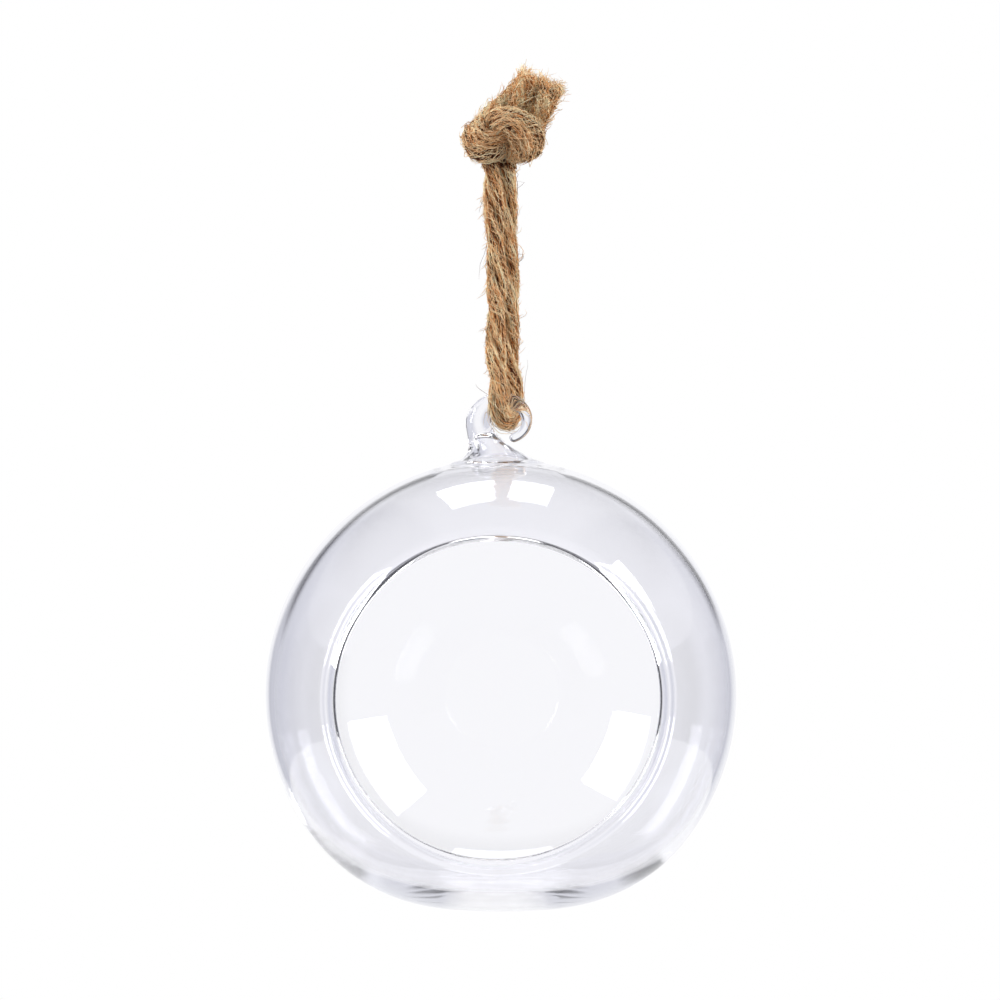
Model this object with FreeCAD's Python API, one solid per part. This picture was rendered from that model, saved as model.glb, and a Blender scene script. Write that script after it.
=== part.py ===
import FreeCAD, Part
import math
import os
from FreeCAD import Vector, Rotation, Placement

# Hanging glass vase: a blown glass globe with an open mouth in its side, a small flat to stand
# on and a drawn glass hook on top, hung from a loop of jute rope that is closed by a knot.
# Millimetres, +Z up, the mouth faces -Y.
# The origin is the hanging point: inside the top of the rope loop, just under the knot.

# Globe
globeRadius = 50.0          # outside of the glass
wallThickness = 1.7
baseLift = 4.8              # height of the cap that the flat of the base takes off the ball
floorThickness = 3.2        # the glass gathers at the bottom

# Mouth
rimWidth = 16.0             # globe's side to the middle of the lip, seen from the front
lipRadius = 1.15            # fire polished lip, a little thicker than the wall
lipBlend = 0.8              # hollow where the lip runs into the wall
lipClearance = 1.5          # middle of the lip to the soft turn into the base, below it

# Hook, a rod that is drawn up from the globe and curled back down to its own foot
eyeHalfWidth = 3.2          # clear opening that takes the rope
eyeHalfHeight = 2.7
eyeOffset = 1.2             # eye centre to the right of the globe's axis
eyeRise = 8.0               # globe top up to the eye's centre
footRadius = 7.1            # drawn foot where it leaves the globe
footOffset = -0.9
footFlare = 2.2             # how hollow the foot's side is
stemSway = 1.4              # how late the stem leans over to the eye's side
stemRises = (-0.3, -0.1, 0.1, 0.25, 0.42, 0.6, 0.8)  # its sections, in shares of the eye's rise
hollowRises = (-0.45, -0.3, -0.15, 0.0, 0.15, 0.3, 0.42, 0.55)  # and of the hollow in its foot
hollowRounding = 0.75       # share of the hollow's last radius that rounds off its end
footBlend = 1.6             # fillet round the foot
rodRadius = 2.75            # rod beside the eye
tipRadius = 1.0             # rod at its free end
tipAngle = -68.0            # where the curl ends, from the right hand side of the eye

# Rope
ropeDiameter = 3.8
eyeDrop = 54.5              # hanging point down to the eye's centre

# Knot, an overhand knot in the doubled rope, with two short cut ends
neckCover = 0.6             # knot past the rope's side, where the rope runs in
lobeRadius = 4.5            # bend of the rope at the lower left
lobeShift = -3.2
lobeRise = 4.6
wrapRadius = 4.4            # turn of rope round the middle
wrapThickness = 6.6
wrapShift = 2.6
wrapRise = 7.6
tailDiameter = 5.4          # cut ends, swollen where they fray
tailLength = 11.5
tailLean = 29.0             # degrees from upright, to the right
tailSpread = 12.0           # degrees between the two
tailOverlap = 0.16          # share of their width that they press into each other

# Middle line of the rope, from the knot down in front, through the eye and up behind
ropeRoute = [
    Vector(-2.10, -1.00, 0.0),
    Vector(-1.50, -1.30, -14.5),
    Vector(-1.00, -1.20, -28.5),
    Vector(-1.60, -2.30, -39.5),
    Vector(-0.40, -4.10, -46.2),
    Vector(-0.40, -4.10, -54.1),
    Vector(2.75, 3.90, -54.1),
    Vector(2.75, 3.90, -46.2),
    Vector(1.90, 2.40, -39.5),
    Vector(2.35, 1.20, -28.5),
    Vector(1.70, 1.10, -14.5),
    Vector(1.20, 1.10, 0.0),
]

curlTurn = 180.0 - tipAngle
curlSteps = 11
globeTopZ = -(eyeDrop + eyeRise)
globeCentre = Vector(0, 0, globeTopZ - globeRadius)
middleRadius = globeRadius - wallThickness / 2
mouthRadius = globeRadius - rimWidth
mouthDepth = math.sqrt(middleRadius ** 2 - mouthRadius ** 2)


def globeBody(radius, drop):
    """A ball that turns softly, from just below the lip, into a flat."""
    meetDrop = (mouthRadius + lipClearance) * radius / middleRadius
    turn = (drop - meetDrop) / (1 - meetDrop / radius)
    outward = Vector(math.sqrt(radius ** 2 - meetDrop ** 2), 0, -meetDrop).normalize()
    turnCentre = outward * (radius - turn)
    top = Vector(0, 0, radius)
    side = (outward + Vector(0, 0, 1)).normalize() * radius
    meet = outward * radius
    low = turnCentre + (outward + Vector(0, 0, -1)).normalize() * turn
    flatEdge = Vector(turnCentre.x, 0, -drop)
    flatMiddle = Vector(0, 0, -drop)
    outline = Part.Wire([
        Part.Arc(top, side, meet).toShape(),
        Part.Arc(meet, low, flatEdge).toShape(),
        Part.LineSegment(flatEdge, flatMiddle).toShape(),
        Part.LineSegment(flatMiddle, top).toShape(),
    ])
    body = Part.Face(outline).revolve(Vector(0, 0, 0), Vector(0, 0, 1), 360)
    body.translate(globeCentre)
    return body


def hookSection(centre, along, radius):
    """A round section of the hook, square to the line it is drawn along."""
    wire = Part.Wire([Part.Circle(Vector(0, 0, 0), Vector(0, 0, 1), radius).toShape()])
    wire.Placement = Placement(centre, Rotation(Vector(0, 1, 0), Vector(0, 0, 0), along, "ZXY"))
    return wire


def stemCentre(rise):
    """Middle of the stem; rise is 0 at the globe's top and 1 beside the eye."""
    rodShift = eyeOffset - eyeHalfWidth - rodRadius
    lean = math.sin(math.pi / 2 * max(rise, 0.0)) ** stemSway
    shift = footOffset + (rodShift - footOffset) * lean
    return Vector(shift, 0, globeTopZ + rise * eyeRise)


def stemRadius(rise):
    return rodRadius + (footRadius - rodRadius) * (1 - rise) ** footFlare


def hollowRadius(rise):
    """The hollow keeps the globe's wall, measured square to the foot's flaring side."""
    slope = (footRadius - rodRadius) * footFlare * (1 - rise) ** (footFlare - 1) / eyeRise
    return stemRadius(rise) - wallThickness * math.sqrt(1 + slope ** 2)


def curlRadius(angle):
    """The rod thins out towards its free end."""
    left = (angle - tipAngle) / curlTurn
    return tipRadius + (rodRadius - tipRadius) * left ** 2


def curlPoint(angle):
    turn = math.radians(angle)
    reach = curlRadius(angle)
    return Vector(eyeOffset + math.cos(turn) * (eyeHalfWidth + reach), 0,
                  -eyeDrop + math.sin(turn) * (eyeHalfHeight + reach))


def curlSection(angle):
    along = (curlPoint(angle - 1.0) - curlPoint(angle + 1.0)).normalize()
    return hookSection(curlPoint(angle), along, curlRadius(angle))


def makeHook():
    sections = [hookSection(stemCentre(rise), Vector(0, 0, 1), stemRadius(rise))
                for rise in stemRises]
    sections += [curlSection(180.0 - curlTurn * step / curlSteps)
                 for step in range(curlSteps + 1)]
    rod = Part.makeLoft(sections, True, False)
    tip = Part.makeSphere(tipRadius, curlPoint(tipAngle))
    return rod.fuse(tip)


def edgesWithin(shape, low, high):
    """Edges that lie wholly inside the box from low to high."""
    box = FreeCAD.BoundBox(low, high)
    return [edge for edge in shape.Edges if box.isInside(edge.BoundBox)]


def makeFootHollow():
    """The globe's inside runs up into the foot and ends there, rounded off."""
    sections = [hookSection(stemCentre(rise), Vector(0, 0, 1), hollowRadius(rise))
                for rise in hollowRises]
    hollow = Part.makeLoft(sections, True, False)
    end, radius = stemCentre(hollowRises[-1]), hollowRadius(hollowRises[-1])
    reach = Vector(2 * radius, 2 * radius, radius / 4)
    return hollow.makeFillet(hollowRounding * radius, edgesWithin(hollow, end - reach, end + reach))


def isLipSection(edge):
    """True for the circle where the lip's own surface closes."""
    return isinstance(edge.Curve, Part.Circle) and abs(edge.Curve.Radius - lipRadius) < 1e-6


def makeGlass():
    reach = 2 * globeRadius
    baseDrop = globeRadius - baseLift
    outside = globeBody(globeRadius, baseDrop).fuse(makeHook())
    foot = edgesWithin(outside, Vector(-reach, -reach, globeTopZ - eyeRise / 2),
                       Vector(reach, reach, globeTopZ + eyeRise / 4))
    outside = outside.makeFillet(footBlend, foot)
    inside = globeBody(globeRadius - wallThickness, baseDrop - floorThickness)
    inside = inside.fuse(makeFootHollow())

    mouthAxis = Vector(0, -1, 0)
    mouth = Part.makeCone(0, reach * mouthRadius / mouthDepth, reach, globeCentre, mouthAxis)
    lip = Part.makeTorus(mouthRadius, lipRadius, globeCentre + mouthAxis * mouthDepth, mouthAxis)
    glass = outside.cut(inside).cut(mouth).fuse(lip)
    lipSides = edgesWithin(glass, Vector(-reach, -reach, globeCentre.z - reach),
                           Vector(reach, 1.5 * lipRadius - mouthDepth, reach))
    return glass.makeFillet(lipBlend, [edge for edge in lipSides if not isLipSection(edge)])


def makeTube(points, radius):
    """Round tube on straight runs joined by tangent arcs; prints the radii of the arcs."""
    edges = []
    radii = []
    start = points[0]
    for before, corner, after in zip(points, points[1:], points[2:]):
        into = (corner - before).normalize()
        out = (after - corner).normalize()
        halfTurn = into.getAngle(out) / 2
        setback = 0.45 * min(corner.distanceToPoint(before), corner.distanceToPoint(after))
        bend = setback / math.tan(halfTurn)
        inward = (out - into).normalize()
        arcStart = corner - into * setback
        arcMiddle = corner + inward * (bend / math.cos(halfTurn) - bend)
        arcEnd = corner + out * setback
        edges.append(Part.LineSegment(start, arcStart).toShape())
        edges.append(Part.Arc(arcStart, arcMiddle, arcEnd).toShape())
        radii.append(bend)
        start = arcEnd
    edges.append(Part.LineSegment(start, points[-1]).toShape())
    path = Part.Wire(edges)
    section = Part.Circle(points[0], (points[1] - points[0]).normalize(), radius)
    tube = path.makePipeShell([Part.Wire([section.toShape()])], True, False)
    print("rope length", round(path.Length, 2), "radii", [round(bend, 1) for bend in radii])
    print("volume", round(tube.Volume, 2), "section times length",
          round(math.pi * radius ** 2 * path.Length, 2))
    return tube


def makeRope():
    """The loop, whose two ends are cut level to meet the knot face to face."""
    points = list(ropeRoute)
    points[0] += (points[0] - points[1]).normalize() * ropeDiameter
    points[-1] += (points[-1] - points[-2]).normalize() * ropeDiameter
    tube = makeTube(points, ropeDiameter / 2)
    size = 10 * ropeDiameter
    above = Part.makeBox(size, size, size, Vector(-size / 2, -size / 2, 0))
    return tube.cut(above)


def makeKnot():
    """Outer shape of the knot: neck, lower bend, wrapped turn and the two cut ends."""
    lean = math.radians(tailLean)
    up = Vector(math.sin(lean), 0, math.cos(lean))
    neckMiddle = (ropeRoute[0] + ropeRoute[-1]) / 2
    neckReach = (ropeRoute[-1] - ropeRoute[0]) / 2
    neckWidth = abs(neckReach.x) + ropeDiameter / 2 + neckCover
    neckDepth = abs(neckReach.y) + ropeDiameter / 2 + neckCover
    neckOutline = Part.Wire([Part.Ellipse(neckMiddle, neckWidth, neckDepth).toShape()])
    neck = Part.Face(neckOutline).extrude(Vector(0, 0, lobeRise))
    lobe = Part.makeSphere(lobeRadius, Vector(lobeShift, 0, lobeRise))
    wrapCentre = Vector(wrapShift, 0, wrapRise)
    core = Part.makeSphere(wrapRadius, wrapCentre)
    wrap = Part.makeTorus(wrapRadius, wrapThickness / 2, wrapCentre, up)
    knot = neck.fuse([lobe, core, wrap])
    for side in (-1, 1):
        angle = lean + side * math.radians(tailSpread / 2)
        along = Vector(math.sin(angle), 0, math.cos(angle))
        apart = side * tailDiameter * (0.5 - tailOverlap / 2)
        beside = Vector(math.cos(lean), 0, -math.sin(lean)) * apart
        tail = Part.makeCylinder(tailDiameter / 2, tailLength, wrapCentre + beside + up, along)
        knot = knot.fuse(tail)
    size = 10 * ropeDiameter
    below = Part.makeBox(size, size, size, Vector(-size / 2, -size / 2, -size))
    return knot.cut(below).removeSplitter()


def main():
    os.makedirs("parts", exist_ok=True)
    pieces = {
        "glass_vase": makeGlass(),
        "rope_loop": makeRope(),
        "rope_knot": makeKnot(),
    }
    for name, shape in pieces.items():
        print(name, len(shape.Solids), "solid", "valid" if shape.isValid() else "not valid",
              round(shape.Volume), "cubic mm")
        shape.exportStep("parts/" + name + ".step")


main()
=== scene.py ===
import math

import bmesh
import bpy
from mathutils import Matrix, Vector, noise


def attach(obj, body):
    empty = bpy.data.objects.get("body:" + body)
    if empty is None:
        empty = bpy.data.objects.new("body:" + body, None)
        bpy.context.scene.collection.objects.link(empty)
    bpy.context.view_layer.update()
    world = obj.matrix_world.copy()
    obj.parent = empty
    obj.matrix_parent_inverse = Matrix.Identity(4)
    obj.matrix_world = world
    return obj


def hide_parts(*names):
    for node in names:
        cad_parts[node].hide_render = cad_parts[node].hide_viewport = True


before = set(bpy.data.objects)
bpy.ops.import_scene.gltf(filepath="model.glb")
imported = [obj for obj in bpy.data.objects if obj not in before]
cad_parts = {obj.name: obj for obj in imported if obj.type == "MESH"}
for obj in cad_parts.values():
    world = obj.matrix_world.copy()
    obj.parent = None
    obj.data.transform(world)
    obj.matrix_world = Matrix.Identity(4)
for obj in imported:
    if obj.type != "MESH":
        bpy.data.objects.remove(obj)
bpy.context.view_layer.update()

scene = bpy.context.scene
scene.view_settings.view_transform = "Standard"
lightBounces = 128               # light runs a long way inside the glass
for kind in ("max_bounces", "glossy_bounces", "transmission_bounces"):
    setattr(scene.cycles, kind, lightBounces)
mm = 0.001


# Camera: level with the globe's shoulder, a long way off, so the mouth is seen nearly square on
camera = {
    "distance": 0.95,            # lens to the globe's middle
    "elevation": 2.1,            # degrees above the mouth's axis
    "azimuth": 1.15,             # degrees to the right
    "frameWidth": 212.8 * mm,    # width of the picture at the globe's depth
    "frameMiddle": (-0.2 * mm, 0.0, -71.2 * mm),
    "globeMiddle": (0.0, 0.0, -112.5 * mm),
    "sensor": 36.0,              # width in millimetres
    "clip": (0.05, 50.0),
}


def makeCamera(c):
    data = bpy.data.cameras.new("camera")
    data.sensor_width = c["sensor"]
    data.lens = c["sensor"] * c["distance"] / c["frameWidth"]
    data.clip_start, data.clip_end = c["clip"]
    lens = bpy.data.objects.new("camera", data)
    scene.collection.objects.link(lens)
    azimuth, elevation = math.radians(c["azimuth"]), math.radians(c["elevation"])
    back = Vector((math.sin(azimuth) * math.cos(elevation),
                   -math.cos(azimuth) * math.cos(elevation), math.sin(elevation)))
    lens.location = Vector(c["globeMiddle"]) + back * c["distance"]
    aim = Vector(c["frameMiddle"]) - lens.location
    lens.rotation_euler = aim.to_track_quat("-Z", "Y").to_euler()
    scene.camera = lens


makeCamera(camera)
print("camera ready")


# Shader maths: a socket that can be added, multiplied and divided like a number
class Wire:
    def __init__(self, tree, socket):
        self.tree, self.socket = tree, socket

    def math(self, operation, *others):
        node = self.tree.nodes.new("ShaderNodeMath")
        node.operation = operation
        for index, value in enumerate((self, *others)):
            plug(self.tree, node.inputs[index], value)
        return Wire(self.tree, node.outputs[0])

    def __add__(self, other):
        return self.math("ADD", other)

    def __mul__(self, other):
        return self.math("MULTIPLY", other)

    def __sub__(self, other):
        return self.math("SUBTRACT", other)

    def __rsub__(self, other):
        return number(self.tree, other).math("SUBTRACT", self)

    def __truediv__(self, other):
        return self.math("DIVIDE", other)

    def __pow__(self, other):
        return self.math("POWER", other)

    def __neg__(self):
        return self * -1.0

    __radd__ = __add__
    __rmul__ = __mul__

    def step(self, low, high):
        # a soft step from 0 to 1
        node = self.tree.nodes.new("ShaderNodeMapRange")
        node.interpolation_type = "SMOOTHSTEP"
        plug(self.tree, node.inputs["Value"], self)
        node.inputs["From Min"].default_value = low
        node.inputs["From Max"].default_value = high
        return Wire(self.tree, node.outputs["Result"])


def number(tree, value):
    node = tree.nodes.new("ShaderNodeValue")
    node.outputs[0].default_value = value
    return Wire(tree, node.outputs[0])


def plug(tree, socket, value):
    if isinstance(value, Wire):
        tree.links.new(value.socket, socket)
    elif isinstance(value, (tuple, list)) and len(value) == 3 and socket.type == "RGBA":
        socket.default_value = (*value, 1.0)
    elif value is not None:
        socket.default_value = value


class Recipe:
    def __init__(self, tree):
        self.tree = tree
        tree.nodes.clear()

    def node(self, kind, settings=None, **values):
        made = self.tree.nodes.new(kind)
        for name, value in (settings or {}).items():
            if name == "stops":
                setStops(made, value)
            else:
                setattr(made, name, value)
        for name, value in values.items():
            plug(self.tree, findSocket(made.inputs, name), value)
        return made

    def out(self, kind, output, settings=None, **values):
        return Wire(self.tree, findSocket(self.node(kind, settings, **values).outputs, output))

    def mix(self, amount, first, second):
        node = self.tree.nodes.new("ShaderNodeMix")
        node.data_type = "RGBA"
        for index, value in ((0, amount), (6, first), (7, second)):
            plug(self.tree, node.inputs[index], value)
        return Wire(self.tree, node.outputs[2])


def findSocket(sockets, name):
    # by name, or by place where the name is n0, n1 and so on
    wanted = name.lower().replace("_", " ")
    for socket in sockets:
        if socket.enabled and socket.name.lower() == wanted:
            return socket
    return sockets[int(name.lstrip("n"))]


def setStops(ramp, stops):
    elements = ramp.color_ramp.elements
    while len(elements) < len(stops):
        elements.new(0.5)
    for element, (place, colour) in zip(elements, stops):
        element.position, element.color = place, (*colour, 1.0)


def newMaterial(name):
    material = bpy.data.materials.new(name)
    material.use_nodes = True
    return material, Recipe(material.node_tree)


def rayKinds(look):
    # is it the camera that looks, a reflection, or a ray that has gone through the glass
    path = look.node("ShaderNodeLightPath")
    names = ("Is Camera Ray", "Is Glossy Ray", "Is Transmission Ray")
    return [Wire(look.tree, path.outputs[name]) for name in names]


# Studio: white paper below, a white wall behind, and darker sides that draw the glass's edges
studio = {
    "paperDrop": 270 * mm,       # hanging point down to the paper
    "paperRadius": 0.60,
    "paperColour": (0.50, 0.50, 0.50),
    "paperGlow": (0.82, 0.90),   # white that the camera sees, near the object and far off
    "paperFade": (0.20, 0.60),   # where the one runs into the other
    "paperStrip": 0.05,          # half width of the paper that stays white at the very front
    "ambient": (0.33, 0.33, 0.345),
    "wallColour": (0.98, 0.98, 0.985),
    "sideColour": (0.70, 0.71, 0.77),    # beside the wall, seen through the glass
    "flagColour": (0.04, 0.04, 0.05),
    "mirrorColour": (0.34, 0.34, 0.39),  # beside the wall, seen in reflections
    "frontColour": (0.98, 0.98, 1.00),
    "wallMiddle": 0.020,         # this and the edges are in parts of a direction's length
    "wallEdge": (0.08, 0.34),    # where the wall fades to the sides
    "mirrorEdge": (0.35, 0.47),
    "flagEdge": (0.76, 0.90),    # black flags far out at the sides, and above
    "flagTop": (0.40, 0.58),
    "hoopEdge": (0.325, 0.385),  # a black hoop round the wall's upper half: inner edge
    "hoopRim": (0.50, 0.60),     # outer edge
    "hoopEnds": (0.06, 0.18),    # its two lower ends
    "frontEdge": (-0.14, 0.08),  # white in front of this
    "boxes": [
        # direction from the globe, distance, size, radiance
        ((0.850, -0.16, 0.505), 0.62, (0.29, 0.45), 8.0),
        ((-0.860, -0.25, 0.450), 0.62, (0.27, 0.40), 8.7),
        ((-0.03, 0.463, 0.886), 0.70, (0.34, 0.22), 4.7),
    ],
}


def makeWorld(s):
    world = bpy.data.worlds.new("studio")
    scene.world = world
    world.use_nodes = True
    sky = Recipe(world.node_tree)
    direction = sky.node("ShaderNodeSeparateXYZ",
                         n0=sky.out("ShaderNodeTexCoord", "generated"))
    x, y, z = (Wire(sky.tree, direction.outputs[i]) for i in range(3))

    # what is seen through the glass, and in its reflections
    side = (x - s["wallMiddle"]).math("ABSOLUTE")
    front = (-y).step(*s["frontEdge"])
    through = sky.mix(side.step(*s["wallEdge"]), s["wallColour"], s["sideColour"])
    reach = (x * x + z * z) ** 0.5
    hoop = reach.step(*s["hoopEdge"]) * (1.0 - reach.step(*s["hoopRim"])) * z.step(*s["hoopEnds"])
    dark = side.step(*s["flagEdge"]).math("MAXIMUM", hoop)
    dark = dark.math("MAXIMUM", z.step(*s["flagTop"]))
    through = sky.mix(dark, through, s["flagColour"])
    through = sky.mix(front, through, s["frontColour"])
    mirrored = sky.mix(side.step(*s["mirrorEdge"]), s["frontColour"], s["mirrorColour"])
    mirrored = sky.mix(front, mirrored, s["frontColour"])
    isCamera, isGlossy, isThrough = rayKinds(sky)
    colour = sky.mix(isGlossy, s["ambient"], mirrored)
    colour = sky.mix(isThrough, colour, through)
    colour = sky.mix(isCamera, colour, (1.0, 1.0, 1.0))
    shade = sky.node("ShaderNodeBackground", color=colour, strength=1.0)
    end = sky.node("ShaderNodeOutputWorld")
    sky.tree.links.new(shade.outputs[0], end.inputs[0])


def makePaper(s):
    bpy.ops.mesh.primitive_circle_add(vertices=96, radius=s["paperRadius"], fill_type="NGON",
                                      location=(0, 0, -s["paperDrop"]))
    paper = bpy.context.object
    paper.name = "paper"
    material, look = newMaterial("paper")
    grain = look.out("ShaderNodeTexNoise", "fac", None,
                     vector=look.out("ShaderNodeTexCoord", "object"), scale=900.0, detail=3.0)
    bump = look.out("ShaderNodeBump", "normal", None, height=grain, strength=0.05,
                    distance=0.0002)
    shade = look.node("ShaderNodeBsdfPrincipled", base_color=s["paperColour"], roughness=0.9,
                      normal=bump)

    # seen through the glass the paper is a painted glow that goes on from the wall's colours,
    # darker to the sides, so no edge shows between them; in reflections it glows plain near white
    place = look.node("ShaderNodeSeparateXYZ", n0=look.out("ShaderNodeTexCoord", "object"))
    across, along = Wire(look.tree, place.outputs[0]), Wire(look.tree, place.outputs[1])
    level = (across * across + along * along) ** 0.5
    below = s["paperDrop"] + camera["globeMiddle"][2]    # paper to the globe's middle
    reach = (across * across + along * along + below * below) ** 0.5
    side = (across.math("ABSOLUTE") - s["paperStrip"]).math("MAXIMUM", 0.0) / reach
    through = look.mix(side.step(*s["wallEdge"]), s["wallColour"], s["sideColour"])
    isCamera, isGlossy, isThrough = rayKinds(look)
    near, far = s["paperGlow"]
    glow = (near + (far - near) * level.step(*s["paperFade"])) * isCamera
    white = look.node("ShaderNodeEmission", color=(1.0, 1.0, 1.0), strength=glow)
    lit = look.node("ShaderNodeAddShader")
    look.tree.links.new(shade.outputs[0], lit.inputs[0])
    look.tree.links.new(white.outputs[0], lit.inputs[1])
    plain = look.node("ShaderNodeEmission", strength=1.0,
                      color=look.mix(isGlossy, through, s["frontColour"]))
    both = look.node("ShaderNodeMixShader", n0=isGlossy.math("MAXIMUM", isThrough))
    look.tree.links.new(lit.outputs[0], both.inputs[1])
    look.tree.links.new(plain.outputs[0], both.inputs[2])
    end = look.node("ShaderNodeOutputMaterial")
    look.tree.links.new(both.outputs[0], end.inputs[0])
    paper.data.materials.append(material)


def makeSoftboxes(s):
    middle = Vector(camera["globeMiddle"])
    for index, (direction, distance, size, radiance) in enumerate(s["boxes"]):
        data = bpy.data.lights.new("softbox" + str(index), "AREA")
        data.shape = "RECTANGLE"
        data.size, data.size_y = size
        data.energy = radiance * math.pi * size[0] * size[1]
        lamp = bpy.data.objects.new(data.name, data)
        scene.collection.objects.link(lamp)
        away = Vector(direction).normalized()
        lamp.location = middle + away * distance
        lamp.rotation_euler = (-away).to_track_quat("-Z", "Y").to_euler()


makeWorld(studio)
makePaper(studio)
makeSoftboxes(studio)
print("studio ready")


# Glass: one closed skin, from the back of the globe over the lip to the inside and back
glass = {                        # sizes in millimetres and degrees
    "globeRadius": 50.0,
    "wall": 1.7,
    "baseDrop": 45.2,            # globe's middle down to the flat of the base
    "baseTurn": 38.0,            # soft turn into the flat
    "floorThickness": 3.2,
    "floorTurn": 34.0,
    "mouthAcross": 34.5,         # middle of the lip; the mouth is a little wider than high
    "mouthUp": 33.5,
    "mouthWobble": 0.12,         # hand made unevenness
    "mouthLobes": ((3, 0.6), (2, -1.1)),    # how many round the mouth, and their turn
    "lipRadius": 1.25,
    "lipThinning": 0.40,         # the lip is thinner at the top of the mouth
    "lipThinFrom": 0.5,          # from this part of the mouth's height upwards
    "lipFade": 1.4,              # how far the lip's extra thickness runs into the wall
    "waviness": 0.10,            # of each surface
    "waveScale": 1.6,
    "waveEnd": (-0.93, -0.75),   # the outside has no waves on the flat of the base
    "innerWaves": (8.3, 4.4, 1.2),
    "outerWaves": (3.1, 0.7, 5.9),
    "eyeDrop": 54.5,             # hanging point down to the middle of the eye
    "eyeRise": 8.0,
    "eyeHalfWidth": 3.2,
    "eyeHalfHeight": 2.7,
    "eyeOffset": 1.2,
    "footRadius": 7.1,
    "footOffset": -0.9,
    "footFlare": 2.2,
    "footSpread": 12.2,          # where the drawn foot has run out into the globe
    "footSoftness": 1.1,
    "footSoftEnd": 0.72,         # the softness fades from this part of the spread
    "footWall": 1.7,
    "hollowTop": 0.36,           # the foot is hollow up to this rise
    "hollowInset": 1.5,          # the hollow's spread ends this far inside the foot's
    "stemSway": 1.4,
    "rodRadius": 2.75,
    "tipRadius": 1.0,
    "tipAngle": -68.0,
    "around": 256,               # cells round the mouth's axis
    "rowStep": 1.25,             # between rows away from the lip
    "lipSteps": 9,               # rows round the lip's end
    "lipGap": 0.12,              # first gap beside them, and how the next ones grow
    "gapGrowth": 1.16,
    "gapMost": 0.9,
    "lipRun": 4.4,               # rows follow the lip for this far
    "farStart": 50.0,            # and from here they run round the mouth's axis
    "farCalm": 75.0,             # past this they no longer follow the mouth's outline
    "block": 12,                 # half the cells that the foot takes the place of
    "curlSteps": 64,
    "tipSteps": 7,
    "domeSteps": 9,
    "colour": (0.952, 0.952, 0.978),
    "ior": 1.47,
    "swirlScale": 26.0,
    "swirlDepth": 0.1 * mm,
}
# worked out from the sizes above
glass["middle"] = Vector((0, 0, -glass["eyeDrop"] - glass["eyeRise"] - glass["globeRadius"]))
glass["half"] = glass["wall"] / 2
glass["middleRadius"] = glass["globeRadius"] - glass["half"]
glass["footGain"] = glass["footRadius"] - glass["rodRadius"]
glass["rodShift"] = glass["eyeOffset"] - glass["eyeHalfWidth"] - glass["rodRadius"]
glass["curlTurn"] = 180.0 - glass["tipAngle"]


class Skin:
    # vertices in millimetres from the hanging point, and the faces between them
    def __init__(self):
        self.vertices, self.faces = [], []

    def addRow(self, points):
        start = len(self.vertices)
        self.vertices.extend(points)
        return list(range(start, len(self.vertices)))

    def bridge(self, first, second, skip=()):
        for j in range(len(first)):
            if j not in skip:
                k = (j + 1) % len(first)
                self.faces.append((first[j], second[j], second[k], first[k]))

    def addPole(self, row, point, outside):
        pole = self.addRow([point])[0]
        for j in range(len(row)):
            k = (j + 1) % len(row)
            pair = (row[k], row[j]) if outside else (row[j], row[k])
            self.faces.append((*pair, pole))

    def addRings(self, rim, rings, tip):
        # from a rim over rings with as many points to a tip
        before, count = rim, len(rim)
        for ring in rings:
            now = self.addRow(ring)
            for j in range(count):
                k = (j + 1) % count
                self.faces.append((before[j], before[k], now[k], now[j]))
            before = now
        end = self.addRow([tip])[0]
        for j in range(count):
            self.faces.append((before[j], before[(j + 1) % count], end))


def smoothStep(low, high, value):
    share = min(max((value - low) / (high - low), 0.0), 1.0)
    return share * share * (3 - 2 * share)


def reachOf(level, height, radius, drop, turn):
    # from the globe's middle to its skin, where level and height are the parts of a direction
    turnX = math.sqrt((radius - turn) ** 2 - (drop - turn) ** 2)
    turnZ = turn - drop
    if height >= 0 or level * -turnZ > turnX * -height:
        return radius
    if level * drop <= turnX * -height:
        return drop / -height
    along = level * turnX + height * turnZ
    return along + math.sqrt(along ** 2 - turnX ** 2 - turnZ ** 2 + turn ** 2)


def skinReach(g, direction):
    level = math.hypot(direction.x, direction.y)
    outer = reachOf(level, direction.z, g["globeRadius"], g["baseDrop"], g["baseTurn"])
    inner = reachOf(level, direction.z, g["globeRadius"] - g["wall"],
                    g["baseDrop"] - g["floorThickness"], g["floorTurn"])
    calm = smoothStep(*g["waveEnd"], direction.z)
    place = direction * g["waveScale"]
    outer += g["waviness"] * calm * noise.noise(place + Vector(g["outerWaves"]))
    inner += g["waviness"] * noise.noise(place + Vector(g["innerWaves"]))
    return inner, outer


def wallPoint(g, theta, phi, offset):
    # theta runs from the middle of the mouth to the back, phi round the mouth's axis
    direction = Vector((math.sin(theta) * math.cos(phi), -math.cos(theta),
                        math.sin(theta) * math.sin(phi)))
    inner, outer = skinReach(g, direction)
    reach = (inner + outer) / 2 + offset * (outer - inner) / g["wall"]
    return direction * reach + g["middle"]


def mouthTheta(g, phi):
    radius = math.hypot(g["mouthAcross"] * math.cos(phi), g["mouthUp"] * math.sin(phi))
    for lobes, turn in g["mouthLobes"]:
        radius += g["mouthWobble"] * math.sin(lobes * phi + turn)
    return math.asin(radius / g["middleRadius"])


def lipPlaces(g):
    # angles round the lip's end, which are negative, and then distances from the lip
    places = [-math.pi / 2 * (1 - step / g["lipSteps"]) for step in range(g["lipSteps"])]
    away, gap = 0.0, g["lipGap"]
    while away < g["lipRun"]:
        places.append(away)
        away += gap
        gap = min(gap * g["gapGrowth"], g["gapMost"])
    return places


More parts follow.
